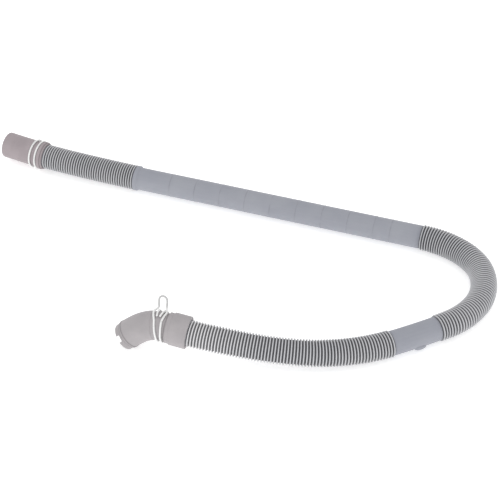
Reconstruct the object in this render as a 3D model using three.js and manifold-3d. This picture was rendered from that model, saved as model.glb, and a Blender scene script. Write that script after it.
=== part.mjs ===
// A washing-machine drain hose: one corrugated tube with a straight rubber cuff on one end, a rubber
// elbow cuff on the other and a double-wire spring clip round each cuff. It lies on a flat surface.
// Millimetres, +Z up. The origin is on that surface, under the middle of the part, and the long
// plain stretch lies along +X.
import * as THREE from "three";
import { mergeVertices } from "three/addons/utils/BufferGeometryUtils.js";
import Module from "manifold-3d";

const wasm = await Module();
wasm.setup();

// Clearance between pieces that touch on the real hose.
const FIT = 0.3;

// The length over which a wall steps from one radius to the next.
const STEP = 0.3;

// The tube. Its ribbed stretches bend, its plain stretches are stiff. The ribs by the straight cuff are
// pressed closer together than the others.
const RIB_RADIUS = 14;
const VALLEY_RADIUS = 12;
const PLAIN_RADIUS = 12.65;
const TUBE_WALL = 1.1;
const RIB_PITCH = 3.08;
const CLOSE_RIB_PITCH = 2.85;
const RIBS_BY_STRAIGHT_CUFF = 108.3;
const SHOULDER_LENGTH = 5.6;
const SHOULDER_CHAMFER = 1.5;
const LONG_PLAIN_LENGTH = 323.5;
const RIBS_ROUND_TURN = 194.6;
const SHORT_PLAIN_LENGTH = 52.8;
const TUBE_SIDES = 12;
const TURN_STEP = 12;

// The locating lug moulded on the short plain stretch, low on its outer side.
const LUG_LENGTH = 13.5;
const LUG_WIDTH = 8;
const LUG_HEIGHT = 2.8;
const LUG_FROM_RIBS = 24.1;
const LUG_ANGLE = 234;

// The straight cuff, measured from its mouth.
const STRAIGHT_LENGTH = 51.6;
const STRAIGHT_WALL = 1.55;
const STRAIGHT_BORE_RADIUS = 10.7;
const STRAIGHT_SOCKET_DEPTH = 31.6;
const CLIP_TO_FLANGE = 0.3;
const FLANGE_RISE = 1.3;
const FLANGE_LENGTH = 3.9;
const FLANGE_LIP_LENGTH = 2.7;
const FLANGE_LIP_RISE = 0.5;
const MOUTH_ROUND = 0.9;

// The elbow cuff, measured from its hose end.
const ELBOW_LENGTH = 74;
const ELBOW_WALL = 1.95;
const COLLAR_RISE = 1.85;
const COLLAR_LENGTH = 17.5;
const NECK_RISE = 0.8;
const BEAD_RISE = 0.2;
const BEAD_LENGTH = 1.2;
const EDGE_CHAMFER = 0.6;
const ELBOW_SOCKET_DEPTH = 38;
const ELBOW_CLIP_AT = 28.7;
const ELBOW_BORE_RADIUS = 10.9;
const ELBOW_MOUTH_RADIUS = 12.3;
const ELBOW_MOUTH_DEPTH = 16;
const ELBOW_LIP_LENGTH = 2.5;
const ELBOW_LIP_RISE = 0.3;
const SKIRT_LENGTH = 6;
const SKIRT_WALL = 1.7;
const NOTCH_WIDTH = 6.8;
const NOTCH_DEPTH = 3.6;
const NOTCH_ANGLE = 125;
const CUFF_SIDES = 28;
const ELBOW_STEP = 6;

// The double-wire clips, one wire each: two rings joined by a finger loop, with two free ends. Turns
// are in degrees round the cuff from the loop.
const WIRE_RADIUS = 1.05;
const SEAT_WALL = 1.25;
const LOOP_HALF_WIDTH = 4.2;
const LOOP_HEIGHT = 15;
const FOOT_HEIGHT = 3;
const FOOT_TURN = 18;
const RING_FROM = 60;
const RING_TO = 300;
const RING_SPACING = 20;
const PASS_TURN = 342;
const FREE_END_TURN = 42;
const FREE_END_RISE = 1;
const FREE_END_HALF_GAP = 1.15;
const STRAIGHT_RING_HALF_GAP = 3.35;
const STRAIGHT_FOOT_HALF_WIDTH = 3.45;
const STRAIGHT_PASS_HALF_GAP = 1.2;
const ELBOW_RING_HALF_GAP = 2.8;
const ELBOW_FOOT_HALF_WIDTH = 4.7;
const ELBOW_PASS_HALF_GAP = 2.05;
const STRAIGHT_LOOP_ANGLE = -112;
const ELBOW_LOOP_ANGLE = 30;
const ELBOW_CLIP_LEAN = 7;
const WIRE_SIDES = 8;
const WIRE_STEPS = 90;

// The tube's centre line from the straight mouth to the elbow's mouth: x, y, and how high a ribbed
// stretch there would lie above the surface.
const ROUTE = [
  [-289.3, 120.4, 2.6],
  [-265, 116.9, 2.6],
  [-240, 113.8, 2.6],
  [-212, 112.4, 2.1],
  [-177, 112.1, 1],
  [-125, 112.1, 0],
  [-60, 112.1, 0],
  [10, 112.1, 0],
  [80, 112.1, 0],
  [140, 112.1, 0],
  [186, 112.1, 0],
  [204, 112, 0],
  [221, 109.8, 0],
  [238.2, 104.6, 0],
  [255, 95.4, 0],
  [270, 80.4, 0],
  [279.2, 58.4, 0],
  [280.5, 34.6, 0],
  [274.2, 12.9, 0],
  [263.8, -4.6, 0],
  [250.6, -19, 0],
  [232.1, -36.8, 0],
  [206.3, -59.7, 0.1],
  [186.1, -74.9, 0.8],
  [164.9, -87.4, 2],
  [143, -97.5, 3.6],
  [120.3, -105, 5.5],
  [97.2, -110.5, 7.4],
  [73.7, -114.5, 9.5],
  [50, -117.4, 11.6],
  [33.7, -119, 12.9],
  [18, -120.1, 14.3],
  [6.4, -120.5, 15.4],
  [-5.3, -121, 16.3],
  [-14.2, -121.6, 16.8],
  [-23, -122.6, 15.3],
  [-31.1, -124, 11.7],
  [-38.5, -125.6, 6.5],
  [-46, -127.6, 0.1],
  [-49.8, -128.6, -3],
];

const UP = new THREE.Vector3(0, 0, 1);
const route = new THREE.CatmullRomCurve3(
  ROUTE.map(([x, y, rise]) => new THREE.Vector3(x, y, RIB_RADIUS + rise)),
);
route.arcLengthDivisions = 4000;

// Distances along the route.
const routeLength = route.getLength();
const elbowStart = routeLength - ELBOW_LENGTH;
const tubeStart = STRAIGHT_LENGTH - STRAIGHT_SOCKET_DEPTH;
const tubeEnd = elbowStart + ELBOW_SOCKET_DEPTH;
const shoulderStart = STRAIGHT_LENGTH + RIBS_BY_STRAIGHT_CUFF;
const longPlainStart = shoulderStart + SHOULDER_LENGTH;
const turnStart = longPlainStart + LONG_PLAIN_LENGTH;
const shortPlainStart = turnStart + RIBS_ROUND_TURN;
const lastRibsStart = shortPlainStart + SHORT_PLAIN_LENGTH;

// Radii that follow from the tube.
const socketRadius = PLAIN_RADIUS + FIT;
const seatRadius = socketRadius + SEAT_WALL;
const straightRadius = socketRadius + STRAIGHT_WALL;
const elbowRadius = socketRadius + ELBOW_WALL;
const ringRadius = seatRadius + FIT + WIRE_RADIUS;

// The straight cuff's flange, and its clip, which lies just short of it. A clip reaches along the cuff
// as far as its rings or its loop's feet, whichever goes further.
const flangeEnd = STRAIGHT_LENGTH - FLANGE_LIP_LENGTH;
const flangeStart = flangeEnd - FLANGE_LENGTH;
const straightClipReach = Math.max(STRAIGHT_RING_HALF_GAP, STRAIGHT_FOOT_HALF_WIDTH) + WIRE_RADIUS;
const straightClipAt = flangeStart - CLIP_TO_FLANGE - straightClipReach;

// The elbow's clip sits askew: its rings shift along the cuff at their top and bottom, and the feet of
// its loop shift with them.
const leanReach = ringRadius * Math.tan(THREE.MathUtils.degToRad(ELBOW_CLIP_LEAN));
const footLean = leanReach * Math.cos(THREE.MathUtils.degToRad(ELBOW_LOOP_ANGLE));
const elbowRingReach = ELBOW_RING_HALF_GAP + leanReach;
const elbowClipBack = Math.max(elbowRingReach, ELBOW_FOOT_HALF_WIDTH - footLean) + WIRE_RADIUS;
const elbowClipAhead = Math.max(elbowRingReach, ELBOW_FOOT_HALF_WIDTH + footLean) + WIRE_RADIUS;

// The point of the route at a distance along it, with the directions along, across and upwards there.
function frameAt(distance) {
  const share = THREE.MathUtils.clamp(distance / routeLength, 0, 1);
  const point = route.getPointAt(share);
  const along = route.getTangentAt(share);
  const across = new THREE.Vector3().crossVectors(along, UP).normalize();
  const lift = new THREE.Vector3().crossVectors(across, along);
  return { point, along, across, lift };
}

// The direction square to the route at an angle in degrees from straight up.
function outwards({ across, lift }, degrees) {
  const angle = THREE.MathUtils.degToRad(degrees);
  return across.clone().multiplyScalar(Math.sin(angle)).addScaledVector(lift, Math.cos(angle));
}

// A turned body whose axis follows the route. The profile is a closed loop of distance and radius
// that runs along the outside first.
function turnedAlongRoute(profile, sides) {
  const loop = [...profile, profile[0]].map(([distance, radius]) => new THREE.Vector2(radius, distance));
  const geometry = new THREE.LatheGeometry(loop, sides);
  const position = geometry.getAttribute("position");
  for (let i = 0; i < position.count; i++) {
    const { point, across, lift } = frameAt(position.getY(i));
    point.addScaledVector(across, position.getX(i)).addScaledVector(lift, position.getZ(i));
    position.setXYZ(i, point.x, point.y, point.z);
  }
  return geometry;
}

// Places a body at a distance along the route: its x along the route, its z outwards at an angle.
function stoodOnRoute(geometry, distance, degrees, radius) {
  const frame = frameAt(distance);
  const out = outwards(frame, degrees);
  const matrix = new THREE.Matrix4().makeBasis(frame.along, out.clone().cross(frame.along), out);
  matrix.setPosition(frame.point.addScaledVector(out, radius));
  return geometry.applyMatrix4(matrix);
}

// Places between two distances, no more than a step apart, both ends included.
function stops(from, to, step) {
  const count = Math.max(1, Math.ceil((to - from) / step));
  return Array.from({ length: count + 1 }, (_, i) => from + ((to - from) * i) / count);
}

function solidOf(geometry) {
  const bare = new THREE.BufferGeometry();
  bare.setAttribute("position", geometry.getAttribute("position").clone());
  bare.setIndex(geometry.getIndex());
  const merged = mergeVertices(bare, 1e-3);
  const vertProperties = merged.getAttribute("position").array;
  const triVerts = new Uint32Array(merged.getIndex().array);
  return new wasm.Manifold(new wasm.Mesh({ numProp: 3, vertProperties, triVerts }));
}

function geometryOf(solid) {
  const { vertProperties, triVerts } = solid.getMesh();
  const geometry = new THREE.BufferGeometry();
  geometry.setAttribute("position", new THREE.BufferAttribute(vertProperties, 3));
  geometry.setIndex(new THREE.BufferAttribute(triVerts, 1));
  return geometry;
}

// The outside of a ribbed stretch: a valley and a crest for each rib.
function ribs(from, to, usualPitch) {
  const count = Math.round((to - from) / usualPitch);
  const pitch = (to - from) / count;
  const points = [];
  for (let i = 0; i < count; i++) {
    points.push([from + i * pitch, VALLEY_RADIUS]);
    points.push([from + (i + 0.5) * pitch, RIB_RADIUS]);
  }
  points.push([to, VALLEY_RADIUS]);
  return points;
}

function plain(from, to, step) {
  return stops(from, to, step).map((distance) => [distance, PLAIN_RADIUS]);
}

function bore(from, to, radius, step) {
  return stops(from, to, step).map((distance) => [distance, radius]);
}

// The blown tube: plain ends inside the cuffs, three ribbed stretches and two plain ones, and a bore
// that is wider in the plain stretches.
function tubeGeometry() {
  const plainBore = PLAIN_RADIUS - TUBE_WALL;
  const ribBore = VALLEY_RADIUS - TUBE_WALL;
  const outside = [
    ...plain(tubeStart, STRAIGHT_LENGTH - STEP, STRAIGHT_SOCKET_DEPTH),
    ...ribs(STRAIGHT_LENGTH, shoulderStart, CLOSE_RIB_PITCH),
    [shoulderStart + STEP, RIB_RADIUS],
    [longPlainStart - SHOULDER_CHAMFER, RIB_RADIUS],
    ...plain(longPlainStart, turnStart - STEP, LONG_PLAIN_LENGTH / 4),
    ...ribs(turnStart, shortPlainStart, RIB_PITCH),
    ...plain(shortPlainStart + STEP, lastRibsStart - STEP, TURN_STEP),
    ...ribs(lastRibsStart, elbowStart, RIB_PITCH),
    ...plain(elbowStart + STEP, tubeEnd, ELBOW_STEP),
  ];
  const inside = [
    ...bore(tubeStart, STRAIGHT_LENGTH, plainBore, STRAIGHT_SOCKET_DEPTH),
    ...bore(STRAIGHT_LENGTH + TUBE_WALL, longPlainStart, ribBore, 2 * TURN_STEP),
    ...bore(longPlainStart + TUBE_WALL, turnStart - TUBE_WALL, plainBore, LONG_PLAIN_LENGTH / 4),
    ...bore(turnStart, shortPlainStart, ribBore, TURN_STEP),
    ...bore(shortPlainStart + TUBE_WALL, lastRibsStart - TUBE_WALL, plainBore, TURN_STEP),
    ...bore(lastRibsStart, elbowStart, ribBore, TURN_STEP),
    ...bore(elbowStart + TUBE_WALL, tubeEnd, plainBore, ELBOW_STEP),
  ];
  return turnedAlongRoute([...outside, ...inside.reverse()], TUBE_SIDES);
}

// The lug is half an egg shape: what lies inside the tube's wall is cut away.
function lugSolid() {
  const at = shortPlainStart + LUG_FROM_RIBS;
  const egg = new THREE.SphereGeometry(1, 16, 10).scale(LUG_LENGTH / 2, LUG_WIDTH / 2, LUG_HEIGHT);
  const core = new THREE.CylinderGeometry(
    PLAIN_RADIUS - TUBE_WALL / 2,
    PLAIN_RADIUS - TUBE_WALL / 2,
    2 * LUG_LENGTH,
    4 * TUBE_SIDES,
  ).rotateZ(Math.PI / 2);
  const placedEgg = stoodOnRoute(egg, at, LUG_ANGLE, PLAIN_RADIUS * Math.cos(Math.PI / TUBE_SIDES));
  const placedCore = stoodOnRoute(core, at, LUG_ANGLE, 0);
  return solidOf(placedEgg).subtract(solidOf(placedCore));
}

function hoseGeometry() {
  return geometryOf(solidOf(tubeGeometry()).add(lugSolid()));
}

// A straight sleeve with a rounded mouth, a seat for the clip and a flange that keeps the clip on.
function straightCuffGeometry() {
  const seatStart = straightClipAt - straightClipReach - FIT;
  const mouthSteps = [0, 30, 60, 90].map((degrees) => THREE.MathUtils.degToRad(degrees));
  const mouth = mouthSteps.map((angle) => [
    MOUTH_ROUND * (1 - Math.sin(angle)),
    straightRadius - MOUTH_ROUND * (1 - Math.cos(angle)),
  ]);
  const outside = [
    ...mouth.reverse(),
    [seatStart - STEP, straightRadius],
    [seatStart, seatRadius],
    [flangeStart - STEP, seatRadius],
    [flangeStart, straightRadius + FLANGE_RISE - EDGE_CHAMFER],
    [flangeStart + EDGE_CHAMFER, straightRadius + FLANGE_RISE],
    [flangeEnd - EDGE_CHAMFER, straightRadius + FLANGE_RISE],
    [flangeEnd, straightRadius + FLANGE_LIP_RISE],
    [STRAIGHT_LENGTH - FIT, straightRadius],
  ];
  const inside = [
    [STRAIGHT_LENGTH - FIT, socketRadius],
    [tubeStart - FIT, socketRadius],
    [tubeStart - FIT, STRAIGHT_BORE_RADIUS],
    [0, STRAIGHT_BORE_RADIUS],
  ];
  return turnedAlongRoute([...outside, ...inside], CUFF_SIDES);
}

// The elbow with its thick collar, the bead and seat for the clip, the bend, and a lipped mouth whose
// skirt has two notches, one opposite the other.
function elbowCuffGeometry() {
  const from = (distance) => elbowStart + distance;
  const seatStart = ELBOW_CLIP_AT - elbowClipBack - FIT;
  const seatEnd = ELBOW_CLIP_AT + elbowClipAhead + FIT;
  const lipEnd = ELBOW_LENGTH - SKIRT_LENGTH;
  const lipStart = lipEnd - ELBOW_LIP_LENGTH;
  const collarRadius = elbowRadius + COLLAR_RISE;
  const neckRadius = elbowRadius + NECK_RISE;
  const skirtRadius = ELBOW_MOUTH_RADIUS + SKIRT_WALL;
  const outside = [
    [from(FIT), collarRadius - EDGE_CHAMFER],
    [from(FIT + EDGE_CHAMFER), collarRadius],
    [from(COLLAR_LENGTH), collarRadius],
    [from(COLLAR_LENGTH + EDGE_CHAMFER), neckRadius],
    [from(seatStart - BEAD_LENGTH - EDGE_CHAMFER), neckRadius],
    [from(seatStart - BEAD_LENGTH), neckRadius + BEAD_RISE],
    [from(seatStart - EDGE_CHAMFER), neckRadius + BEAD_RISE],
    ...stops(from(seatStart), from(seatEnd), ELBOW_STEP).map((distance) => [distance, seatRadius]),
    ...stops(from(seatEnd + EDGE_CHAMFER), from(lipStart), ELBOW_STEP).map((at) => [at, elbowRadius]),
    [from(lipStart + STEP), elbowRadius + ELBOW_LIP_RISE],
    [from(lipEnd), elbowRadius + ELBOW_LIP_RISE],
    [from(lipEnd), skirtRadius],
    [routeLength, skirtRadius],
  ];
  const inside = [
    ...stops(from(FIT), tubeEnd + FIT, ELBOW_STEP).map((distance) => [distance, socketRadius]),
    ...bore(tubeEnd + FIT + STEP, routeLength - ELBOW_MOUTH_DEPTH, ELBOW_BORE_RADIUS, ELBOW_STEP),
    ...bore(routeLength - ELBOW_MOUTH_DEPTH + STEP, routeLength, ELBOW_MOUTH_RADIUS, ELBOW_STEP),
  ];
  const elbow = turnedAlongRoute([...outside, ...inside.reverse()], CUFF_SIDES);
  const slot = new THREE.BoxGeometry(2 * NOTCH_DEPTH, NOTCH_WIDTH, 4 * skirtRadius);
  const placedSlot = stoodOnRoute(slot, routeLength, NOTCH_ANGLE, 0);
  return geometryOf(solidOf(elbow).subtract(solidOf(placedSlot)));
}

// Half of a clip's wire as points of angle, distance from the axis and offset along it, from the top
// of the finger loop, round the cuff and past the loop to the free end.
function halfWire(ringHalfGap, footHalfWidth, passHalfGap) {
  const tip = ringRadius + LOOP_HEIGHT;
  const bend = tip - LOOP_HALF_WIDTH;
  const foot = ringRadius + FOOT_HEIGHT;
  const side = [30, 60, 90].map((degrees) => {
    const angle = THREE.MathUtils.degToRad(degrees);
    return [0, bend + LOOP_HALF_WIDTH * Math.cos(angle), LOOP_HALF_WIDTH * Math.sin(angle)];
  });
  const leg = [
    [0, (bend + foot) / 2, LOOP_HALF_WIDTH],
    [0, foot, LOOP_HALF_WIDTH],
    [FOOT_TURN / 9, ringRadius + FOOT_HEIGHT / 2, (LOOP_HALF_WIDTH + footHalfWidth) / 2],
    [FOOT_TURN / 2, ringRadius + FOOT_HEIGHT / 12, footHalfWidth],
    [FOOT_TURN, ringRadius, footHalfWidth],
    [(FOOT_TURN + RING_FROM) / 2, ringRadius, (footHalfWidth + ringHalfGap) / 2],
  ];
  const ring = stops(RING_FROM, RING_TO, RING_SPACING).map((degrees) => [degrees, ringRadius, ringHalfGap]);
  const pass = [
    [(RING_TO + PASS_TURN) / 2, ringRadius, ringHalfGap],
    [PASS_TURN, ringRadius, ringHalfGap],
    [360, ringRadius, passHalfGap],
    [360 + FREE_END_TURN / 2, ringRadius, (passHalfGap + FREE_END_HALF_GAP) / 2],
    [360 + (5 / 6) * FREE_END_TURN, ringRadius + FREE_END_RISE / 3, FREE_END_HALF_GAP],
    [360 + FREE_END_TURN, ringRadius + FREE_END_RISE, FREE_END_HALF_GAP],
  ];
  return [...side, ...leg, ...ring, ...pass];
}

// A clip round the route, from half of its wire. Its rings follow the cuff's bend, its finger loop
// stays straight. Turn is 1 or -1, the way that the wire leaves the loop, and reach is how far the
// clip leans.
function clipGeometry(distance, half, loopAngle, turn, reach) {
  const middle = frameAt(distance);
  const place = ([turned, radius, aside]) => {
    const degrees = loopAngle + turn * turned;
    const offset = aside + (reach * radius * Math.cos(THREE.MathUtils.degToRad(degrees))) / ringRadius;
    const offRing = THREE.MathUtils.smoothstep(radius, ringRadius, ringRadius + FOOT_HEIGHT);
    const bent = frameAt(distance + offset);
    const straight = middle.point.clone().addScaledVector(middle.along, offset);
    const point = straight.addScaledVector(outwards(middle, degrees), radius);
    const ringPoint = bent.point.addScaledVector(outwards(bent, degrees), radius);
    return ringPoint.lerp(point, offRing);
  };
  const mirrored = half.map(([degrees, radius, offset]) => [degrees, radius, -offset]);
  const top = [0, ringRadius + LOOP_HEIGHT, 0];
  const path = new THREE.CatmullRomCurve3([...[...half].reverse(), top, ...mirrored].map(place));
  const section = new THREE.Shape().absarc(0, 0, WIRE_RADIUS, 0, 2 * Math.PI);
  return new THREE.ExtrudeGeometry(section, {
    steps: WIRE_STEPS,
    curveSegments: WIRE_SIDES / 2,
    bevelEnabled: false,
    extrudePath: path,
  });
}

const tubePlastic = new THREE.MeshStandardMaterial({ color: 0x9a9da6, roughness: 0.55, metalness: 0 });
const cuffRubber = new THREE.MeshStandardMaterial({ color: 0xaea7a8, roughness: 0.8, metalness: 0 });
const clipWire = new THREE.MeshStandardMaterial({ color: 0xf0f0ee, roughness: 0.35, metalness: 0.2 });

function piece(name, geometry, material) {
  geometry.computeVertexNormals();
  const mesh = new THREE.Mesh(geometry, material);
  mesh.name = name;
  return mesh;
}

const straightEnd = new THREE.Group();
straightEnd.add(
  piece("straight_cuff", straightCuffGeometry(), cuffRubber.clone()),
  piece(
    "straight_cuff_clip",
    clipGeometry(
      straightClipAt,
      halfWire(STRAIGHT_RING_HALF_GAP, STRAIGHT_FOOT_HALF_WIDTH, STRAIGHT_PASS_HALF_GAP),
      STRAIGHT_LOOP_ANGLE,
      1,
      0,
    ),
    clipWire.clone(),
  ),
);

const elbowEnd = new THREE.Group();
elbowEnd.add(
  piece("elbow_cuff", elbowCuffGeometry(), cuffRubber.clone()),
  piece(
    "elbow_cuff_clip",
    clipGeometry(
      elbowStart + ELBOW_CLIP_AT,
      halfWire(ELBOW_RING_HALF_GAP, ELBOW_FOOT_HALF_WIDTH, ELBOW_PASS_HALF_GAP),
      ELBOW_LOOP_ANGLE,
      -1,
      leanReach,
    ),
    clipWire.clone(),
  ),
);

const drainHose = new THREE.Group();
drainHose.add(piece("hose", hoseGeometry(), tubePlastic), straightEnd, elbowEnd);

export default drainHose;
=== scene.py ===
# %% [markdown]
# # A washing-machine drain hose
# The real hose is one blown plastic tube with ribbed stretches that bend and plain stretches that
# don't. A straight rubber cuff and a rubber elbow cuff are pushed over its ends, and a sprung wire clip
# squeezes each cuff. It lies in a U on a pale table. The drawing has the same five pieces with few
# faces, so each one is made again here with its ribs, rounded edges and finish, in the same place.

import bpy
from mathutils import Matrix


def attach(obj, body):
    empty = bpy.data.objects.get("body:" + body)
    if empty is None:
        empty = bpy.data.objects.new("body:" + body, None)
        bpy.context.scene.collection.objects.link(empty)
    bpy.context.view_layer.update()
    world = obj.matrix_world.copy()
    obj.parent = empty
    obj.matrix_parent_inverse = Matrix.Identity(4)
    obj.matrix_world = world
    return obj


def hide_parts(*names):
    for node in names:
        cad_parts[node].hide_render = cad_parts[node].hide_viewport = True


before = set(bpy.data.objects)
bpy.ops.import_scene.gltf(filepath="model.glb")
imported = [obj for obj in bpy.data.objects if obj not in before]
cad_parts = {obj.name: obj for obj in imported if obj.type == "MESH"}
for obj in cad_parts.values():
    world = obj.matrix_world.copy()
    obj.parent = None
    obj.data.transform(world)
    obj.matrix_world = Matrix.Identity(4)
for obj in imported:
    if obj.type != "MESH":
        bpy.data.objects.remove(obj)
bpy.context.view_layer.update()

# %% [markdown]
# ## The camera
# It stands 1.2 m above the table and looks 41 degrees down through a long lens, turned a little to the
# left. It comes first because a hose's unseen length is measured by what the camera sees.

# %% Camera
import math

import bpy
import numpy as np

MM = 0.001
bpy.ops.object.select_all(action="DESELECT")
bpy.ops.object.camera_add(
    location=(0.458, -1.2658, 1.204),
    rotation=(math.radians(49), 0, math.radians(18.2)),
)
camera = bpy.context.object
camera.data.sensor_width = 36
camera.data.lens = 122.4
bpy.context.scene.camera = camera
print("camera stands", round(camera.location.z, 3), "m up")

# %% [markdown]
# ## The line that the hose follows
# A flexible tube has one smooth centre line, so everything here hangs on one: from the straight
# cuff's mouth, along the table, round the turn, up over a low hump and down through the elbow. Each
# point gives x, y and how far a ribbed stretch there is lifted off the table. A smooth curve runs
# through the points, and it is measured along its length, so that a rib or a cuff can be asked for by
# its distance from the mouth.

# %% Points of the centre line, in millimetres
RIB_RADIUS = 14.0
ROUTE = [
    (-289.3, 120.4, 2.6), (-265, 116.9, 2.6), (-240, 113.8, 2.6), (-212, 112.4, 2.1),
    (-177, 112.1, 1), (-125, 112.1, 0), (-60, 112.1, 0), (10, 112.1, 0), (80, 112.1, 0),
    (140, 112.1, 0), (186, 112.1, 0), (204, 112, 0), (221, 109.8, 0), (238.2, 104.6, 0),
    (255, 95.4, 0), (270, 80.4, 0), (279.2, 58.4, 0), (280.5, 34.6, 0), (274.2, 12.9, 0),
    (263.8, -4.6, 0), (250.6, -19, 0), (232.1, -36.8, 0), (206.3, -59.7, 0.1),
    (186.1, -74.9, 0.8), (164.9, -87.4, 2), (143, -97.5, 3.6), (120.3, -105, 5.5),
    (97.2, -110.5, 7.4), (73.7, -114.5, 9.5), (50, -117.4, 11.6), (33.7, -119, 12.9),
    (18, -120.1, 14.3), (6.4, -120.5, 15.4), (-5.3, -121, 16.3), (-14.2, -121.6, 16.8),
    (-23, -122.6, 15.3), (-31.1, -124, 11.7), (-38.5, -125.6, 6.5), (-46, -127.6, 0.1),
    (-49.8, -128.6, -3),
]


# %% A smooth curve through points
def smooth_line(points, steps):
    """A centripetal Catmull-Rom curve, which doesn't overshoot where points stand close together."""
    points = np.array(points, dtype=float)
    ends = [2 * points[0] - points[1]], points, [2 * points[-1] - points[-2]]
    knots = np.vstack(ends)
    t = np.linspace(0, 1, steps, endpoint=False)[:, None]
    line = []
    for a, b, c, d in zip(knots, knots[1:], knots[2:], knots[3:]):
        before, here, after = (((v - u) ** 2).sum() ** 0.25 for u, v in ((a, b), (b, c), (c, d)))
        leave = ((b - a) / before - (c - a) / (before + here) + (c - b) / here) * here
        arrive = ((c - b) / here - (d - b) / (here + after) + (d - c) / after) * here
        square = -3 * b + 3 * c - 2 * leave - arrive
        cube = 2 * b - 2 * c + leave + arrive
        line.append(b + leave * t + square * t**2 + cube * t**3)
    return np.vstack([*line, points[-1:]])


def distances(line):
    return np.concatenate([[0], np.cumsum(np.linalg.norm(np.diff(line, axis=0), axis=1))])


centre_line = smooth_line([(x, y, RIB_RADIUS + rise) for x, y, rise in ROUTE], 300)
measured = distances(centre_line)
ROUTE_LENGTH = measured[-1]
print("centre line:", round(ROUTE_LENGTH, 1), "mm")


# %% Position and directions at a distance along the line
def on_line(distance):
    distance = np.clip(distance, 0, ROUTE_LENGTH)
    return np.stack([np.interp(distance, measured, centre_line[:, i]) for i in range(3)], axis=-1)


def unit(vectors):
    return vectors / np.linalg.norm(vectors, axis=-1, keepdims=True)


def directions(distance):
    """Along the line, across it and upwards from it."""
    distance = np.clip(distance, 0, ROUTE_LENGTH)
    along = unit(on_line(distance + 0.2) - on_line(distance - 0.2))
    across = unit(np.cross(along, (0, 0, 1)))
    return along, across, np.cross(across, along)


# %% [markdown]
# ## How the round pieces are made
# The tube and both cuffs were moulded round, and then the rubber and the ribs took the bend. They are
# made the same way here: an outline of one wall is drawn beside the X axis, spun round it into a
# straight body, and then each of its points is carried over to the curved line. What was a straight
# body's own coordinate is kept on each point, so the finish can follow the tube round its bends. The
# directions at the line carry a body over as its mirror image, which turns a mesh inside out, so its
# faces are flipped to point outwards again. The volume that is printed is positive when they do.


# %% Spin an outline round the X axis
def turned(name, outline, sides):
    """outline is a closed loop of (distance, radius) in millimetres."""
    bpy.ops.object.select_all(action="DESELECT")
    bpy.ops.mesh.primitive_circle_add(vertices=len(outline), radius=1)
    body = bpy.context.object
    body.name = body.data.name = name
    places = np.array([(distance, 0, radius) for distance, radius in outline]) * MM
    body.data.vertices.foreach_set("co", places.ravel())
    bpy.ops.object.mode_set(mode="EDIT")
    bpy.ops.mesh.select_all(action="SELECT")
    bpy.ops.mesh.spin(steps=sides, angle=2 * math.pi, center=(0, 0, 0), axis=(1, 0, 0))
    bpy.ops.mesh.select_all(action="SELECT")
    bpy.ops.mesh.remove_doubles(threshold=0.005 * MM)
    bpy.ops.mesh.normals_make_consistent(inside=False)
    bpy.ops.object.mode_set(mode="OBJECT")
    return body


# %% Carry a straight body over to the curved line
def lay_on_line(body):
    mesh = body.data
    straight = np.empty(3 * len(mesh.vertices))
    mesh.vertices.foreach_get("co", straight)
    kept = mesh.attributes.new("straight", "FLOAT_VECTOR", "POINT")
    kept.data.foreach_set("vector", straight)
    straight = straight.reshape(-1, 3)
    distance = straight[:, 0] / MM
    _, across, lift = directions(distance)
    bent = on_line(distance) * MM + across * straight[:, 1:2] + lift * straight[:, 2:3]
    mesh.vertices.foreach_set("co", bent.ravel())
    mesh.flip_normals()
    mesh.update()
    return straight


# %% Round an outline's corners and add points on its long sides
def rounded(corners, parts=4):
    """Each corner is (distance, radius, how far from the corner its rounding starts)."""
    outline = []
    for i, (x, r, reach) in enumerate(corners):
        here = np.array([x, r], dtype=float)
        before = np.array(corners[i - 1][:2], dtype=float)
        after = np.array(corners[(i + 1) % len(corners)][:2], dtype=float)
        if not reach:
            outline.append(tuple(here))
            continue
        start = here + unit(before - here) * reach
        end = here + unit(after - here) * reach
        for t in np.linspace(0, 1, parts + 1):
            outline.append(tuple((1 - t) ** 2 * start + 2 * t * (1 - t) * here + t**2 * end))
    return outline


def stepped(outline, step):
    """The same loop with no side longer than a step."""
    points = []
    for (x0, r0), (x1, r1) in zip(outline, outline[1:] + outline[:1]):
        count = max(1, math.ceil(math.hypot(x1 - x0, r1 - r0) / step))
        points += [(x0 + (x1 - x0) * i / count, r0 + (r1 - r0) * i / count) for i in range(count)]
    return points


def volume_of(body):
    """Cubic centimetres. It is positive when the faces point outwards."""
    mesh = body.data
    mesh.calc_loop_triangles()
    corners = np.empty(3 * len(mesh.vertices))
    mesh.vertices.foreach_get("co", corners)
    index = np.empty(3 * len(mesh.loop_triangles), dtype=np.int32)
    mesh.loop_triangles.foreach_get("vertices", index)
    a, b, c = corners.reshape(-1, 3)[index].reshape(-1, 3, 3).transpose(1, 0, 2)
    return float(np.einsum("ij,ij->i", a, np.cross(b, c)).sum() / 6 * 1e6)


# %% [markdown]
# ## The tube
# It is blown against the rings of a mould, which leaves ribs about 3.1 mm apart and 2 mm deep, with a
# narrow rounded crest and a flat valley. The plain stretches come between the ribs' two radii. Where
# the long plain stretch starts there is a smooth shoulder as wide as the ribs. Beyond it the blocks of
# the mould leave a fine raised line round the tube every 29 mm, and the last one comes sooner. One rib
# is eight points of the outline, so the ribs are real, and they still throw their own shade in a side
# view. From one radius to the next, the outline slopes over 0.3 mm.

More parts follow.
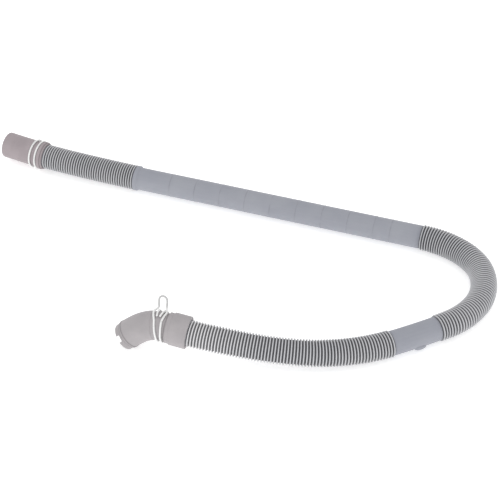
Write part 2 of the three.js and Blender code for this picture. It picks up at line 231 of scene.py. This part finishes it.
# %% Distances along the tube, in millimetres
STRAIGHT_CUFF_LENGTH = 51.6
ELBOW_LENGTH = 74.0
TUBE_START = 20.0
ELBOW_START = ROUTE_LENGTH - ELBOW_LENGTH
TUBE_IN_ELBOW = 38.0
TUBE_END = ELBOW_START + TUBE_IN_ELBOW
SHOULDER_START = STRAIGHT_CUFF_LENGTH + 108.3
LONG_PLAIN_START = SHOULDER_START + 5.6
TURN_START = LONG_PLAIN_START + 323.5
SHORT_PLAIN_START = TURN_START + 194.6
LAST_RIBS_START = SHORT_PLAIN_START + 52.8
RIB_PITCH = 3.08
CLOSE_RIB_PITCH = 2.85
RIBBED = [
    (STRAIGHT_CUFF_LENGTH, SHOULDER_START, CLOSE_RIB_PITCH),
    (TURN_START, SHORT_PLAIN_START, RIB_PITCH),
    (LAST_RIBS_START, ELBOW_START, RIB_PITCH),
]
VALLEY_RADIUS = 12.0
PLAIN_RADIUS = 12.65
WALL = 1.1
SLOPE = 0.3

# %% One rib, as shares of the pitch and of the rise
RIB_SHAPE = [
    (0, 0), (0.17, 0.02), (0.26, 0.45), (0.35, 0.92),
    (0.5, 1), (0.65, 0.92), (0.74, 0.45), (0.83, 0.02),
]


# %% Outlines of a ribbed and of a plain stretch
def ribs(start, end, usual_pitch):
    """A whole number of ribs, with the pitch that fits them between start and end."""
    count = round((end - start) / usual_pitch)
    pitch = (end - start) / count
    rise = RIB_RADIUS - VALLEY_RADIUS
    points = []
    for i in range(count):
        points += [(start + (i + x) * pitch, VALLEY_RADIUS + rise * h) for x, h in RIB_SHAPE]
    return points + [(end, VALLEY_RADIUS)]


def plain(start, end, step):
    """Points no further apart than a step, so that the tube can bend between them."""
    count = max(1, math.ceil((end - start) / step))
    return [(start + (end - start) * i / count, PLAIN_RADIUS) for i in range(count + 1)]


# %% The long plain stretch with its mould lines
MOULD_LINE_SPACING = 29.2
MOULD_LINE_RISE = 0.13
MOULD_LINE_HALF_WIDTH = 0.35
FIRST_MOULD_LINE = LONG_PLAIN_START + 38.3
MOULD_LINES = [FIRST_MOULD_LINE + i * MOULD_LINE_SPACING for i in range(9)]
LAST_BLOCK_LENGTH = 18.6
MOULD_LINES.append(MOULD_LINES[-1] + LAST_BLOCK_LENGTH)


def long_plain():
    """Plain tube with a low flat ring on each mould line."""
    ring = PLAIN_RADIUS + MOULD_LINE_RISE
    points = []
    at = LONG_PLAIN_START + 2 * SLOPE
    for line in MOULD_LINES:
        points += plain(at, line - 2 * MOULD_LINE_HALF_WIDTH, 6)
        points += [(line - MOULD_LINE_HALF_WIDTH, ring), (line + MOULD_LINE_HALF_WIDTH, ring)]
        at = line + 2 * MOULD_LINE_HALF_WIDTH
    return points + plain(at, TURN_START - SLOPE, 6)


# %% The outside, from the straight cuff to the elbow
shoulder = [
    (SHOULDER_START + 0.3, 13.5),
    (SHOULDER_START + 0.6, 13.9),
    (SHOULDER_START + 1.1, RIB_RADIUS),
    (LONG_PLAIN_START - 1.6, RIB_RADIUS),
    (LONG_PLAIN_START - 1.1, 13.85),
    (LONG_PLAIN_START - 0.2, 12.95),
    (LONG_PLAIN_START + 0.2, 12.7),
]
tube_outside = (
    plain(TUBE_START, STRAIGHT_CUFF_LENGTH - SLOPE, 4)
    + ribs(*RIBBED[0])
    + shoulder
    + long_plain()
    + ribs(*RIBBED[1])
    + plain(SHORT_PLAIN_START + SLOPE, LAST_RIBS_START - SLOPE, 2.5)
    + ribs(*RIBBED[2])
    + plain(ELBOW_START + SLOPE, TUBE_END, 2.5)
)

# %% The bore, narrower inside the ribs
PLAIN_BORE = PLAIN_RADIUS - WALL
RIBBED_BORE = VALLEY_RADIUS - WALL
NARROW = [
    (STRAIGHT_CUFF_LENGTH + 1, LONG_PLAIN_START),
    (TURN_START, SHORT_PLAIN_START),
    (LAST_RIBS_START, ELBOW_START),
]
bore = [(TUBE_START, PLAIN_BORE)]
for start, end in NARROW:
    bore += [(start - 1, PLAIN_BORE), (start, RIBBED_BORE), (end, RIBBED_BORE), (end + 1, PLAIN_BORE)]
bore.append((TUBE_END, PLAIN_BORE))
bore_distances = np.linspace(TUBE_START, TUBE_END, 320)
tube_inside = list(zip(bore_distances, np.interp(bore_distances, *zip(*bore))))

# %% Spin the tube
hose = turned("drain_tube", tube_outside + tube_inside[::-1], 48)
print("tube outline:", len(tube_outside), "points outside,", len(tube_inside), "inside")

# %% [markdown]
# The short plain stretch carries a small oval lug, low on its outer side, which probably keeps its
# place in a bracket. It is half an egg shape, and it is joined to the tube while the tube is still
# straight.

# %% The lug
LUG_ANGLE = math.radians(234)
LUG_DISTANCE = SHORT_PLAIN_START + 24.1
LUG_LENGTH = 13.5
LUG_WIDTH = 8.0
LUG_HEIGHT = 2.8
LUG_MIDDLE_RADIUS = 12.3
bpy.ops.object.select_all(action="DESELECT")
bpy.ops.mesh.primitive_uv_sphere_add(segments=48, ring_count=24, radius=1)
lug = bpy.context.object
bpy.ops.object.mode_set(mode="EDIT")
bpy.ops.transform.resize(value=(LUG_LENGTH / 2 * MM, LUG_WIDTH / 2 * MM, LUG_HEIGHT * MM))
bpy.ops.transform.translate(value=(0, 0, LUG_MIDDLE_RADIUS * MM))
bpy.ops.object.mode_set(mode="OBJECT")
lug.rotation_euler.x = -LUG_ANGLE
lug.location.x = LUG_DISTANCE * MM
bpy.ops.object.transform_apply(location=True, rotation=True, scale=True)

# %% Join the lug to the tube, then lay the tube on its line
bpy.ops.object.select_all(action="DESELECT")
hose.select_set(True)
bpy.context.view_layer.objects.active = hose
union = hose.modifiers.new("lug", "BOOLEAN")
union.operation = "UNION"
union.object = lug
union.solver = "MANIFOLD"
bpy.ops.object.modifier_apply(modifier="lug")
bpy.data.objects.remove(lug)
straight = lay_on_line(hose)
print("tube:", len(hose.data.polygons), "faces,", round(volume_of(hose), 1), "cubic centimetres")

# %% Mark the ribbed stretches and how deep each point lies in a valley
radius = np.hypot(straight[:, 1], straight[:, 2]) / MM
distance = straight[:, 0] / MM
ribbed = np.zeros(len(distance))
for start, end, _ in RIBBED:
    ribbed[(distance > start - 0.2) & (distance < end + 0.2)] = 1
groove = ribbed * np.clip((RIB_RADIUS - radius) / (RIB_RADIUS - VALLEY_RADIUS), 0, 1)
mould_line = np.zeros(len(distance))
for line in MOULD_LINES:
    mould_line[(np.abs(distance - line) < 0.4) & (radius > VALLEY_RADIUS)] = 1
hose.data.attributes.new("mould_line", "FLOAT", "POINT").data.foreach_set("value", mould_line)
hose.data.attributes.new("ribbed", "FLOAT", "POINT").data.foreach_set("value", ribbed)
hose.data.attributes.new("groove", "FLOAT", "POINT").data.foreach_set("value", groove)


# %% Smooth shading that keeps true edges
def smooth(body, degrees):
    bpy.ops.object.select_all(action="DESELECT")
    body.select_set(True)
    bpy.context.view_layer.objects.active = body
    bpy.ops.object.shade_smooth_by_angle(angle=math.radians(degrees))


smooth(hose, 80)

# %% [markdown]
# ## The straight cuff
# A soft rubber sleeve that is pushed over a spigot. Its mouth is rounded, a shallow seat holds the
# clip, and a flange with a lip beside it keeps the clip from sliding onto the ribs. The rubber grips
# the real tube. Here, as on the drawing, pieces that touch keep 0.3 mm between them.

# %% Straight cuff
FIT = 0.3
SOCKET_RADIUS = PLAIN_RADIUS + FIT
STRAIGHT_BORE_RADIUS = 10.7
SEAT_RADIUS = 14.2
STRAIGHT_RADIUS = 14.5
SEAT_START = 35.4
FLANGE_START = 45.0
FLANGE_END = 48.9
FLANGE_RISE = 1.3
FLANGE_LIP_RISE = 0.5
straight_cuff = turned(
    "straight_rubber_cuff",
    stepped(
        rounded([
            (0, STRAIGHT_RADIUS, 0.9),
            (SEAT_START - 0.4, STRAIGHT_RADIUS, 0.4),
            (SEAT_START, SEAT_RADIUS, 0.2),
            (FLANGE_START - SLOPE, SEAT_RADIUS, 0.4),
            (FLANGE_START, STRAIGHT_RADIUS + FLANGE_RISE, 0.6),
            (FLANGE_END, STRAIGHT_RADIUS + FLANGE_RISE, 0.6),
            (FLANGE_END + 0.2, STRAIGHT_RADIUS + FLANGE_LIP_RISE, 0.3),
            (STRAIGHT_CUFF_LENGTH - FIT, STRAIGHT_RADIUS + 0.1, 0.7),
            (STRAIGHT_CUFF_LENGTH - FIT, SOCKET_RADIUS, 0.4),
            (TUBE_START - FIT, SOCKET_RADIUS, 0),
            (TUBE_START - FIT, STRAIGHT_BORE_RADIUS, 0.3),
            (0, STRAIGHT_BORE_RADIUS, 0.7),
        ]),
        3,
    ),
    80,
)
lay_on_line(straight_cuff)
smooth(straight_cuff, 60)
print("straight cuff:", round(volume_of(straight_cuff), 1), "cubic centimetres")

# %% [markdown]
# ## The elbow cuff
# A thicker rubber moulding: a heavy collar over the tube, a neck with a bead, a seat for the clip, the
# bend, and a mouth with a fine lip. The skirt beyond the lip has a notch on each side, probably for
# ribs on the spigot that it goes over.

# %% Elbow cuff, still without notches
ELBOW_RADIUS = 14.9
COLLAR_RADIUS = 16.75
COLLAR_LENGTH = 17.5
NECK_RADIUS = 15.7
BEAD_RISE = 0.2
LEAN = math.tan(math.radians(7))
RING_RADIUS = 15.55
WIRE_RADIUS = 1.05
ELBOW_CLIP = 28.7
ELBOW_RING_GAP = 2.8
ELBOW_FOOT = 4.7
ELBOW_LOOP_ANGLE = 30
RING_LEAN = RING_RADIUS * LEAN
FOOT_LEAN = RING_LEAN * math.cos(math.radians(ELBOW_LOOP_ANGLE))
SEAT_BACK = ELBOW_CLIP - (ELBOW_RING_GAP + RING_LEAN + WIRE_RADIUS + FIT)
SEAT_AHEAD = ELBOW_CLIP + (ELBOW_FOOT + FOOT_LEAN + WIRE_RADIUS + FIT)
LIP_START = 65.5
LIP_END = 68.0
LIP_RISE = 0.3
MOUTH_RADIUS = 12.3
MOUTH_DEPTH = 16.0
SKIRT_RADIUS = 14.0
ELBOW_BORE_RADIUS = 10.9
elbow_outline = [
    (FIT, COLLAR_RADIUS, 0.8),
    (COLLAR_LENGTH, COLLAR_RADIUS, 0.5),
    (COLLAR_LENGTH + 0.7, NECK_RADIUS, 0.4),
    (SEAT_BACK - 1.9, NECK_RADIUS, 0.2),
    (SEAT_BACK - 1.3, NECK_RADIUS + BEAD_RISE, 0.35),
    (SEAT_BACK - 0.5, NECK_RADIUS + BEAD_RISE, 0.35),
    (SEAT_BACK, SEAT_RADIUS, 0.4),
    (SEAT_AHEAD, SEAT_RADIUS, 0.4),
    (SEAT_AHEAD + 0.7, ELBOW_RADIUS, 0.4),
    (LIP_START, ELBOW_RADIUS, 0.15),
    (LIP_START + 0.3, ELBOW_RADIUS + LIP_RISE, 0.15),
    (LIP_END, ELBOW_RADIUS + LIP_RISE, 0.35),
    (LIP_END + 0.05, SKIRT_RADIUS, 0.2),
    (ELBOW_LENGTH, SKIRT_RADIUS, 0.4),
    (ELBOW_LENGTH, MOUTH_RADIUS, 0.4),
    (ELBOW_LENGTH - MOUTH_DEPTH + SLOPE, MOUTH_RADIUS, 0.3),
    (ELBOW_LENGTH - MOUTH_DEPTH, ELBOW_BORE_RADIUS, 0.3),
    (TUBE_IN_ELBOW + FIT + SLOPE, ELBOW_BORE_RADIUS, 0.2),
    (TUBE_IN_ELBOW + FIT, SOCKET_RADIUS, 0.3),
    (FIT, SOCKET_RADIUS, 0.4),
]
elbow_outline = [(ELBOW_START + x, r, reach) for x, r, reach in elbow_outline]
elbow_cuff = turned("elbow_rubber_cuff", stepped(rounded(elbow_outline), 1.4), 80)

# %% Cut the notches with one bar across the mouth, then lay the elbow on its line
NOTCH_ANGLE = math.radians(125)
NOTCH_WIDTH = 6.8
NOTCH_DEPTH = 3.6
NOTCH_ROUND = 0.8
BAR_LENGTH = 50.0
uncut = volume_of(elbow_cuff)
bpy.ops.object.select_all(action="DESELECT")
bpy.ops.mesh.primitive_cube_add(size=1)
bar = bpy.context.object
bar.scale = (2 * NOTCH_DEPTH * MM, NOTCH_WIDTH * MM, BAR_LENGTH * MM)
bpy.ops.object.transform_apply(location=False, rotation=False, scale=True)
bpy.ops.object.mode_set(mode="EDIT")
bpy.ops.mesh.select_all(action="SELECT")
bpy.ops.mesh.bevel(offset=NOTCH_ROUND * MM, segments=3)
bpy.ops.object.mode_set(mode="OBJECT")
bar.rotation_euler.x = -NOTCH_ANGLE
bar.location.x = ROUTE_LENGTH * MM
bpy.ops.object.transform_apply(location=True, rotation=True, scale=True)
bpy.ops.object.select_all(action="DESELECT")
elbow_cuff.select_set(True)
bpy.context.view_layer.objects.active = elbow_cuff
cut = elbow_cuff.modifiers.new("notches", "BOOLEAN")
cut.operation = "DIFFERENCE"
cut.object = bar
cut.solver = "EXACT"
bpy.ops.object.modifier_apply(modifier="notches")
bpy.data.objects.remove(bar)
print("notches took", round(uncut - volume_of(elbow_cuff), 3), "cubic centimetres")
lay_on_line(elbow_cuff)
smooth(elbow_cuff, 50)
print("elbow cuff:", round(volume_of(elbow_cuff), 1), "cubic centimetres")

# %% [markdown]
# ## The spring clips
# Each clip is one piece of coated spring wire: from the rounded top of a finger loop down two legs,
# out over the cuff in two rings, and past each other under the loop to two short free ends. Squeezing
# the loop against the ends opens the rings. A wire is a line with a round section, so one half of the
# line is drawn as points of angle, radius and offset, mirrored, and given its thickness.

# %% One half of the wire
LOOP_HALF_WIDTH = 4.2
LOOP_HEIGHT = 15.0
FOOT_HEIGHT = 3.0
FREE_END_RISE = 1.0
FREE_END_GAP = 1.15


def half_wire(ring_gap, foot_gap, pass_gap):
    """Points of (angle from the loop, radius, offset). A gap is measured from the clip's middle."""
    bend = RING_RADIUS + LOOP_HEIGHT - LOOP_HALF_WIDTH
    foot = RING_RADIUS + FOOT_HEIGHT
    top = [
        (0, bend + LOOP_HALF_WIDTH * math.cos(a), LOOP_HALF_WIDTH * math.sin(a))
        for a in np.radians([30, 60, 90])
    ]
    leg = [
        (0, (bend + foot) / 2, LOOP_HALF_WIDTH),
        (0, foot, LOOP_HALF_WIDTH),
        (2, RING_RADIUS + FOOT_HEIGHT / 2, (LOOP_HALF_WIDTH + foot_gap) / 2),
        (9, RING_RADIUS + FOOT_HEIGHT / 12, foot_gap),
        (18, RING_RADIUS, foot_gap),
        (39, RING_RADIUS, (foot_gap + ring_gap) / 2),
    ]
    ring = [(angle, RING_RADIUS, ring_gap) for angle in range(60, 301, 20)]
    end = [
        (321, RING_RADIUS, ring_gap),
        (342, RING_RADIUS, ring_gap),
        (360, RING_RADIUS, pass_gap),
        (381, RING_RADIUS, (pass_gap + FREE_END_GAP) / 2),
        (395, RING_RADIUS + FREE_END_RISE / 3, FREE_END_GAP),
        (402, RING_RADIUS + FREE_END_RISE, FREE_END_GAP),
    ]
    return top + leg + ring + end


# %% The whole clip at its place on the line
def clip(name, at, half, loop_angle, turn, lean):
    """turn is 1 or -1 for the way round, and lean is how far the clip leans along the line."""

    def place(turned_by, radius, aside):
        angle = math.radians(loop_angle + turn * turned_by)
        offset = aside + lean * radius * math.cos(angle)
        share = np.clip((radius - RING_RADIUS) / FOOT_HEIGHT, 0, 1)
        share = share * share * (3 - 2 * share)
        middle_along, middle_across, middle_lift = directions(at)
        _, across, lift = directions(at + offset)
        out = middle_across * math.sin(angle) + middle_lift * math.cos(angle)
        straight = on_line(at) + middle_along * offset + out * radius
        bent = on_line(at + offset) + (across * math.sin(angle) + lift * math.cos(angle)) * radius
        return bent + (straight - bent) * share

    mirrored = [(angle, radius, -aside) for angle, radius, aside in half]
    path = [*half[::-1], (0, RING_RADIUS + LOOP_HEIGHT, 0), *mirrored]
    body = wire(name, smooth_line([place(*point) for point in path], 10))
    places = np.empty(3 * len(body.data.vertices))
    body.data.vertices.foreach_get("co", places)
    reach = np.linalg.norm(places.reshape(-1, 3) / MM - on_line(at), axis=1)
    # Painted shade: 1 up the finger loop, where the wire is painted darker, falling to 0 at its foot.
    loop_painted_shade = np.clip((reach - RING_RADIUS - FOOT_HEIGHT) / 3, 0, 1)
    body.data.attributes.new("loop_painted_shade", "FLOAT", "POINT").data.foreach_set("value", loop_painted_shade)
    return body


# %% A wire with a round section and rounded ends
def wire(name, line):
    curve = bpy.data.curves.new(name, "CURVE")
    curve.dimensions = "3D"
    curve.bevel_depth = WIRE_RADIUS * MM
    curve.bevel_resolution = 4
    curve.use_fill_caps = True
    spline = curve.splines.new("POLY")
    spline.points.add(len(line) - 1)
    spline.points.foreach_set("co", np.hstack([line * MM, np.ones((len(line), 1))]).ravel())
    from_end = np.minimum(distances(line), distances(line[::-1])[::-1])
    shrink = np.sqrt(1 - np.clip(1 - from_end / (0.6 * WIRE_RADIUS), 0, 0.85) ** 2)
    spline.points.foreach_set("radius", shrink)
    body = bpy.data.objects.new(name, curve)
    bpy.context.collection.objects.link(body)
    bpy.ops.object.select_all(action="DESELECT")
    body.select_set(True)
    bpy.context.view_layer.objects.active = body
    bpy.ops.object.convert(target="MESH")
    body = bpy.context.object
    bpy.ops.object.mode_set(mode="EDIT")
    bpy.ops.mesh.select_all(action="SELECT")
    bpy.ops.mesh.remove_doubles(threshold=0.005 * MM)
    bpy.ops.mesh.normals_make_consistent(inside=False)
    bpy.ops.object.mode_set(mode="OBJECT")
    smooth(body, 50)
    return body


# %% Both clips
STRAIGHT_CLIP = 40.2
STRAIGHT_LOOP_ANGLE = -112
straight_wire = half_wire(ring_gap=3.35, foot_gap=3.45, pass_gap=1.2)
straight_clip = clip("straight_cuff_spring", STRAIGHT_CLIP, straight_wire, STRAIGHT_LOOP_ANGLE, 1, 0)
elbow_wire = half_wire(ring_gap=ELBOW_RING_GAP, foot_gap=ELBOW_FOOT, pass_gap=2.05)
elbow_clip = clip("elbow_cuff_spring", ELBOW_START + ELBOW_CLIP, elbow_wire, ELBOW_LOOP_ANGLE, -1, LEAN)
print("clips:", round(volume_of(straight_clip), 2), round(volume_of(elbow_clip), 2), "cubic centimetres")


# %% [markdown]
# ## Finishes
# Four materials cover the whole part: the tube's satin grey plastic, a matt warm grey rubber for each
# cuff and the clips' white coating. Each is built from noise at the scale of the real surface. On the
# tube and the cuffs the patterns follow the straight body's coordinates, so they bend with the hose.


# %% Small helpers for nodes
def node(tree, kind, inputs=None, **settings):
    made = tree.nodes.new(kind)
    for name, value in settings.items():
        setattr(made, name, value)
    for name, value in (inputs or {}).items():
        if isinstance(value, bpy.types.NodeSocket):
            tree.links.new(value, made.inputs[name])
        else:
            made.inputs[name].default_value = value
    return made


def mixed(tree, factor, first, second):
    inputs = {0: factor, 6: first, 7: second}
    return node(tree, "ShaderNodeMix", inputs, data_type="RGBA").outputs[2]


def noise(tree, vector, scale, detail=3.0):
    inputs = {"Vector": vector, "Scale": scale, "Detail": detail}
    return node(tree, "ShaderNodeTexNoise", inputs).outputs[0]


def ranged(tree, value, low, high, to_low=0.0, to_high=1.0):
    inputs = {0: value, 1: low, 2: high, 3: to_low, 4: to_high}
    return node(tree, "ShaderNodeMapRange", inputs).outputs[0]


def stretched(tree, vector, scale):
    return node(tree, "ShaderNodeMapping", {"Vector": vector, "Scale": scale}).outputs[0]


def bumped(tree, shader, heights):
    """heights are (value, how high it stands in metres), the coarsest first."""
    normal = None
    for value, rise in heights:
        inputs = {"Height": value, "Strength": 1.0, "Distance": rise}
        if normal:
            inputs["Normal"] = normal
        normal = node(tree, "ShaderNodeBump", inputs).outputs[0]
    tree.links.new(normal, shader.inputs["Normal"])


def material(name):
    made = bpy.data.materials.new(name)
    made.use_nodes = True
    return made, made.node_tree, made.node_tree.nodes["Principled BSDF"]


# %% [markdown]
# The tube is a satin polypropylene. Its colour drifts a little in soft clouds and in fine streaks
# along the tube, as blown plastic does. The crests of the ribs are painted lighter as highlight, most
# of all by the elbow, and the valleys are painted darker as shade. The mould's lines are darker in
# uneven patches. A hairline runs along each side where the mould's halves met.


# %% Tube plastic
def tube_plastic():
    made, tree, shader = material("tube_plastic")
    straight = node(tree, "ShaderNodeAttribute", attribute_name="straight").outputs["Vector"]
    ribbed = node(tree, "ShaderNodeAttribute", attribute_name="ribbed").outputs["Fac"]
    groove = node(tree, "ShaderNodeAttribute", attribute_name="groove").outputs["Fac"]
    mould_line = node(tree, "ShaderNodeAttribute", attribute_name="mould_line").outputs["Fac"]
    clouds = ranged(tree, noise(tree, straight, 40), 0.3, 0.7)
    streaks = ranged(tree, noise(tree, stretched(tree, straight, (0.06, 1, 1)), 700), 0.35, 0.7)
    plain_tone = mixed(tree, clouds, (0.29, 0.3, 0.345, 1), (0.325, 0.335, 0.375, 1))
    plain_tone = mixed(tree, ranged(tree, streaks, 0, 1, 0, 0.25), plain_tone, (0.35, 0.36, 0.4, 1))
    # Painted highlight on the crests of the ribs and painted shade in their valleys.
    crest_highlight_tone = mixed(tree, clouds, (0.52, 0.525, 0.55, 1), (0.57, 0.57, 0.59, 1))
    valley_shade_tone = mixed(tree, clouds, (0.075, 0.075, 0.083, 1), (0.1, 0.1, 0.108, 1))
    # The mould's lines are darker in uneven patches.
    patches = ranged(tree, noise(tree, straight, 90), 0.4, 0.62, 0.03, 0.4)
    mould_line_darkening = node(tree, "ShaderNodeMath", {0: mould_line, 1: patches}, operation="MULTIPLY")
    plain_tone = mixed(tree, mould_line_darkening.outputs[0], plain_tone, (0.17, 0.17, 0.2, 1))
    # Painted light: towards the elbow the crests and valleys are painted lighter, as more light falls
    # there.
    up_to = node(tree, "ShaderNodeSeparateXYZ", {0: straight}).outputs["X"]
    painted_light_by_elbow = ranged(tree, up_to, (ELBOW_START - 75) * MM, (ELBOW_START - 10) * MM)
    crest_highlight_tone = mixed(tree, painted_light_by_elbow, crest_highlight_tone, (0.72, 0.715, 0.73, 1))
    valley_shade_tone = mixed(tree, painted_light_by_elbow, valley_shade_tone, (0.15, 0.15, 0.155, 1))
    # The deeper a point lies in a valley, the more painted shade it takes.
    depth = ranged(tree, groove, 0.1, 0.85)
    tone = mixed(tree, ribbed, plain_tone, mixed(tree, depth, crest_highlight_tone, valley_shade_tone))
    tree.links.new(tone, shader.inputs["Base Color"])
    rough = ranged(tree, noise(tree, straight, 300), 0.3, 0.7, 0.42, 0.56)
    tree.links.new(rough, shader.inputs["Roughness"])
    up = node(tree, "ShaderNodeSeparateXYZ", {0: straight}).outputs["Z"]
    side = node(tree, "ShaderNodeMath", {0: up}, operation="ABSOLUTE").outputs[0]
    seam = ranged(tree, side, 0.0001, 0.0005, 1, 0)
    grain = noise(tree, straight, 2500, 2)
    bumped(tree, shader, [(seam, 0.00012), (streaks, 0.00003), (grain, 0.00003)])
    return made


# %% [markdown]
# The cuffs are matt rubber, warmer than the tube, and the straight one is the pinker of the two. Rubber
# has a fine grain and a soft bloom that lightens it in patches, and shade is painted into its corners.


# %% How near an edge of the rubber is
def near_edges(tree, straight, edges, reach):
    """1 at the given distances along the straight body, falling to 0 a reach away from them."""
    along = node(tree, "ShaderNodeSeparateXYZ", {0: straight}).outputs["X"]
    nearest = 0.0
    for edge in edges:
        off = node(tree, "ShaderNodeMath", {0: along, 1: edge * MM}, operation="SUBTRACT").outputs[0]
        away = node(tree, "ShaderNodeMath", {0: off}, operation="ABSOLUTE").outputs[0]
        near = ranged(tree, away, 0.2 * reach * MM, reach * MM, 1, 0)
        nearest = node(tree, "ShaderNodeMath", {0: nearest, 1: near}, operation="MAXIMUM").outputs[0]
    return nearest


# %% Cuff rubber
def cuff_rubber(name, dull, bloomed, edges):
    made, tree, shader = material(name)
    straight = node(tree, "ShaderNodeAttribute", attribute_name="straight").outputs["Vector"]
    bloom = ranged(tree, noise(tree, straight, 55, 4), 0.35, 0.68)
    specks = ranged(tree, noise(tree, straight, 1600, 2), 0.35, 0.75)
    tone = mixed(tree, bloom, (*dull, 1), (*bloomed, 1))
    tone = mixed(tree, ranged(tree, specks, 0, 1, 0, 0.3), tone, (*(0.85 * c for c in dull), 1))
    # Painted shade: the rubber is darker beside the clip's seat and the steps of its outline.
    shade = near_edges(tree, straight, edges, 0.9)
    tone = mixed(tree, ranged(tree, shade, 0, 1, 0, 0.55), tone, (*(0.4 * c for c in dull), 1))
    tree.links.new(tone, shader.inputs["Base Color"])
    rough = ranged(tree, bloom, 0, 1, 0.68, 0.82)
    tree.links.new(rough, shader.inputs["Roughness"])
    shader.inputs["Sheen Weight"].default_value = 0.12
    shader.inputs["Sheen Roughness"].default_value = 0.5
    grain = noise(tree, straight, 3000, 2)
    bumped(tree, shader, [(specks, 0.00004), (grain, 0.00003)])
    return made


# %% [markdown]
# The wire is coated white. The coating is a little uneven and slightly worn to grey in small spots, and
# the loop is painted darker as shade.


# %% Clip coating
def clip_coating():
    made, tree, shader = material("clip_coating")
    place = node(tree, "ShaderNodeTexCoord").outputs["Object"]
    wear = ranged(tree, noise(tree, place, 420, 4), 0.62, 0.74)
    clouds = ranged(tree, noise(tree, place, 120), 0.3, 0.7)
    tone = mixed(tree, clouds, (0.8, 0.8, 0.8, 1), (0.86, 0.86, 0.85, 1))
    tone = mixed(tree, wear, tone, (0.6, 0.6, 0.6, 1))
    # Painted shade on the finger loop.
    loop_painted_shade = node(tree, "ShaderNodeAttribute", attribute_name="loop_painted_shade").outputs["Fac"]
    tone = mixed(tree, ranged(tree, loop_painted_shade, 0, 1, 0, 0.85), tone, (0.48, 0.48, 0.48, 1))
    tree.links.new(tone, shader.inputs["Base Color"])
    tree.links.new(ranged(tree, wear, 0, 1, 0.32, 0.5), shader.inputs["Roughness"])
    bumped(tree, shader, [(noise(tree, place, 900), 0.00005)])
    return made


# %% Give each piece its finish
def finish(body, made):
    body.data.materials.clear()
    body.data.materials.append(made)


coating = clip_coating()
finish(hose, tube_plastic())
# The places on each cuff where shade is painted.
straight_edges = [SEAT_START, FLANGE_START - SLOPE, FLANGE_END + 0.2, STRAIGHT_CUFF_LENGTH - FIT]
straight_tones = (0.335, 0.29, 0.305), (0.39, 0.34, 0.355)
straight_rubber = cuff_rubber("straight_cuff_rubber", *straight_tones, straight_edges)
elbow_edges = [ELBOW_START + x for x in (SEAT_BACK + 1, LIP_START, LIP_END)]
elbow_tones = (0.365, 0.345, 0.355), (0.42, 0.395, 0.405)
elbow_rubber = cuff_rubber("elbow_cuff_rubber", *elbow_tones, elbow_edges)
finish(straight_cuff, straight_rubber)
finish(elbow_cuff, elbow_rubber)
finish(straight_clip, coating)
finish(elbow_clip, coating)

# %% [markdown]
# ## Put the pieces on the drawing
# Each new piece stands for its piece on the drawing and moves with the one body.

# %% Stand for the drawing's pieces
for body, drawn, finish_slot in (
    (hose, "hose", "tube_plastic"),
    (straight_cuff, "straight_cuff", "cuff_rubber"),
    (elbow_cuff, "elbow_cuff", "cuff_rubber"),
    (straight_clip, "straight_cuff_clip", "clip_wire"),
    (elbow_clip, "elbow_cuff_clip", "clip_wire"),
):
    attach(body, "root")
    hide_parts(drawn)

# %% [markdown]
# ## The table and the light
# The hose was photographed as a catalogue picture: on white, with soft light from all round and hardly
# a shadow. A pale floor that glows a little, a white world, a wide lamp overhead and a weaker one in
# front give nearly the same.

# %% Floor
bpy.ops.object.select_all(action="DESELECT")
bpy.ops.mesh.primitive_plane_add(size=12, location=(0, 0, -0.0004))
floor = bpy.context.object
floor.name = "floor"
floor_paint_and_glow, floor_tree, floor_shader = material("floor_paint_and_glow")
floor_place = node(floor_tree, "ShaderNodeTexCoord").outputs["Object"]
floor_tone = mixed(floor_tree, noise(floor_tree, floor_place, 3), (0.9, 0.9, 0.9, 1), (0.92, 0.92, 0.92, 1))
floor_tree.links.new(floor_tone, floor_shader.inputs["Base Color"])
floor_shader.inputs["Roughness"].default_value = 0.9
# Painted light: the floor glows a little, which lifts the shadows round the hose.
floor_shader.inputs["Emission Color"].default_value = (1, 1, 1, 1)
floor_shader.inputs["Emission Strength"].default_value = 0.45
finish(floor, floor_paint_and_glow)

# %% World and lamps
world = bpy.data.worlds.new("studio")
bpy.context.scene.world = world
world.use_nodes = True
world.node_tree.nodes["Background"].inputs["Color"].default_value = (1, 1, 1, 1)
world.node_tree.nodes["Background"].inputs["Strength"].default_value = 0.85


def lamp(name, place, look_at, size, power):
    bpy.ops.object.select_all(action="DESELECT")
    bpy.ops.object.light_add(type="AREA", location=place)
    made = bpy.context.object
    made.name = name
    made.data.size = size
    made.data.energy = power
    aim = unit(np.array(look_at, dtype=float) - place)
    made.rotation_euler = (math.acos(-aim[2]), 0, math.atan2(-aim[0], aim[1]) if aim[:2].any() else 0)


lamp("overhead", (-0.3, -0.2, 1.8), (0, 0, 0), 2.4, 5)
lamp("front", (0.2, -1.5, 0.7), (0, 0, 0), 1.4, 3)
bpy.context.scene.view_settings.view_transform = "Standard"
